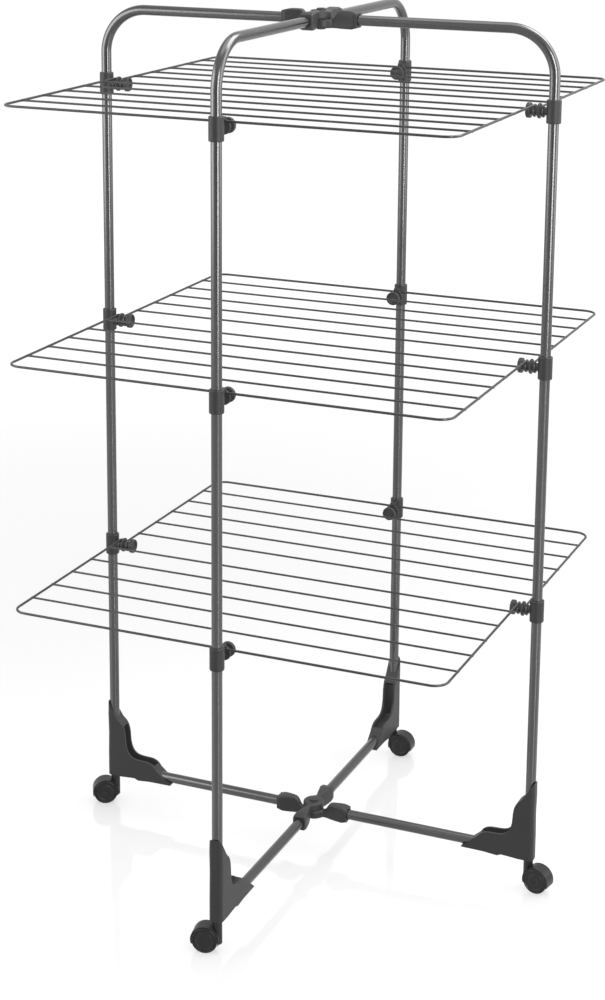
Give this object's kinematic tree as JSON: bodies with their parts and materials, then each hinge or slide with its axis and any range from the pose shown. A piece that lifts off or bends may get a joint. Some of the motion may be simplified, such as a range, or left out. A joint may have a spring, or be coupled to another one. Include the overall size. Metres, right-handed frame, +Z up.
{
  "type": "clothes drying rack",
  "caption": "Tower clothes airer on castors: two crossed tube frames that fold flat about an upright axis, with tiers of wire racks that swing down as they close.",
  "frame": {"origin": "on the floor under the upright axis about which the two frames fold", "axes": "+Z up, +X to the right along frame A, +Y to the back along frame B"},
  "size_m": [0.8208, 0.7725, 1.3783],
  "materials": {
    "tube": "satin graphite lacquer on steel tube",
    "wire": "satin graphite lacquer on steel wire",
    "plastic": "fine moulded grain",
    "castor": "smooth moulded",
    "wheel": "smooth moulded",
    "pin": "bright zinc",
    "screw": "black zinc"
  },
  "bodies": {
    "frame_a": {"hub_top_a": "plastic", "hub_pin_top": "plastic", "hub_bottom_a": "plastic", "hub_pin_bottom": "plastic", "post_left": "tube", "bow_left": "tube", "bar_left": "tube", "foot_left": "plastic", "spool_clip_left_low": "plastic", "spool_clip_left_middle": "plastic", "spool_clip_left_top": "plastic", "post_right": "tube", "bow_right": "tube", "bar_right": "tube", "foot_right": "plastic", "spool_clip_right_low": "plastic", "spool_clip_right_middle": "plastic", "spool_clip_right_top": "plastic", "screws_a": "screw"},
    "frame_b": {"hub_top_b": "plastic", "hub_bottom_b": "plastic", "post_front": "tube", "bow_front": "tube", "bar_front": "tube", "foot_front": "plastic", "hook_clip_front_low": "plastic", "hook_clip_front_middle": "plastic", "hook_clip_front_top": "plastic", "post_back": "tube", "bow_back": "tube", "bar_back": "tube", "foot_back": "plastic", "hook_clip_back_low": "plastic", "hook_clip_back_middle": "plastic", "hook_clip_back_top": "plastic", "screws_b": "screw"},
    "rack_front_low": {"rack_frame_front_low": "wire", "rack_wires_front_low": "wire"},
    "rack_back_low": {"rack_frame_back_low": "wire", "rack_wires_back_low": "wire"},
    "rack_front_middle": {"rack_frame_front_middle": "wire", "rack_wires_front_middle": "wire"},
    "rack_back_middle": {"rack_frame_back_middle": "wire", "rack_wires_back_middle": "wire"},
    "rack_front_top": {"rack_frame_front_top": "wire", "rack_wires_front_top": "wire"},
    "rack_back_top": {"rack_frame_back_top": "wire", "rack_wires_back_top": "wire"},
    "castor_left": {"castor_housing_left": "castor", "castor_pins_left": "pin"},
    "wheels_left": {"castor_wheels_left": "wheel"},
    "castor_right": {"castor_housing_right": "castor", "castor_pins_right": "pin"},
    "wheels_right": {"castor_wheels_right": "wheel"},
    "castor_front": {"castor_housing_front": "castor", "castor_pins_front": "pin"},
    "wheels_front": {"castor_wheels_front": "wheel"},
    "castor_back": {"castor_housing_back": "castor", "castor_pins_back": "pin"},
    "wheels_back": {"castor_wheels_back": "wheel"}
  },
  "joints": [
    {"name": "frame_fold", "type": "hinge", "parent": "frame_a", "child": "frame_b", "pos_m": [0, 0, 0.062], "axis": [0, 0, 1], "range_deg": [0, 66]},
    {"name": "rack_front_low_swing", "type": "hinge", "parent": "frame_a", "child": "rack_front_low", "pos_m": [0, 0, 0.468], "axis": [1, 0, 0], "range_deg": [0, 88]},
    {"name": "rack_back_low_swing", "type": "hinge", "parent": "frame_a", "child": "rack_back_low", "pos_m": [0, 0, 0.468], "axis": [-1, 0, 0], "range_deg": [0, 88]},
    {"name": "rack_front_middle_swing", "type": "hinge", "parent": "frame_a", "child": "rack_front_middle", "pos_m": [0, 0, 0.8555], "axis": [1, 0, 0], "range_deg": [0, 88]},
    {"name": "rack_back_middle_swing", "type": "hinge", "parent": "frame_a", "child": "rack_back_middle", "pos_m": [0, 0, 0.8555], "axis": [-1, 0, 0], "range_deg": [0, 88]},
    {"name": "rack_front_top_swing", "type": "hinge", "parent": "frame_a", "child": "rack_front_top", "pos_m": [0, 0, 1.243], "axis": [1, 0, 0], "range_deg": [0, 88]},
    {"name": "rack_back_top_swing", "type": "hinge", "parent": "frame_a", "child": "rack_back_top", "pos_m": [0, 0, 1.243], "axis": [-1, 0, 0], "range_deg": [0, 88]},
    {"name": "castor_swivel_left", "type": "hinge", "parent": "frame_a", "child": "castor_left", "pos_m": [-0.37, 0, 0.052], "axis": [0, 0, 1], "continuous": true},
    {"name": "wheel_spin_left", "type": "hinge", "parent": "castor_left", "child": "wheels_left", "pos_m": [-0.38516, -0.00875, 0.02], "axis": [-0.5, 0.866, 0], "continuous": true},
    {"name": "castor_swivel_right", "type": "hinge", "parent": "frame_a", "child": "castor_right", "pos_m": [0.37, 0, 0.052], "axis": [0, 0, 1], "continuous": true},
    {"name": "wheel_spin_right", "type": "hinge", "parent": "castor_right", "child": "wheels_right", "pos_m": [0.38723, -0.00304, 0.02], "axis": [-0.1736, -0.9848, 0], "continuous": true},
    {"name": "castor_swivel_front", "type": "hinge", "parent": "frame_b", "child": "castor_front", "pos_m": [0, -0.37, 0.052], "axis": [0, 0, 1], "continuous": true},
    {"name": "wheel_spin_front", "type": "hinge", "parent": "castor_front", "child": "wheels_front", "pos_m": [-0.01712, -0.37364, 0.02], "axis": [-0.2079, 0.9781, 0], "continuous": true},
    {"name": "castor_swivel_back", "type": "hinge", "parent": "frame_b", "child": "castor_back", "pos_m": [0, 0.37, 0.052], "axis": [0, 0, 1], "continuous": true},
    {"name": "wheel_spin_back", "type": "hinge", "parent": "castor_back", "child": "wheels_back", "pos_m": [0.0175, 0.37, 0.02], "axis": [0, -1, 0], "continuous": true}
  ],
  "couplings": [
    {"joint": "rack_front_low_swing", "follows": "frame_fold", "ratio": 1.3333},
    {"joint": "rack_back_low_swing", "follows": "frame_fold", "ratio": 1.3333},
    {"joint": "rack_front_middle_swing", "follows": "frame_fold", "ratio": 1.3333},
    {"joint": "rack_back_middle_swing", "follows": "frame_fold", "ratio": 1.3333},
    {"joint": "rack_front_top_swing", "follows": "frame_fold", "ratio": 1.3333},
    {"joint": "rack_back_top_swing", "follows": "frame_fold", "ratio": 1.3333}
  ]
}
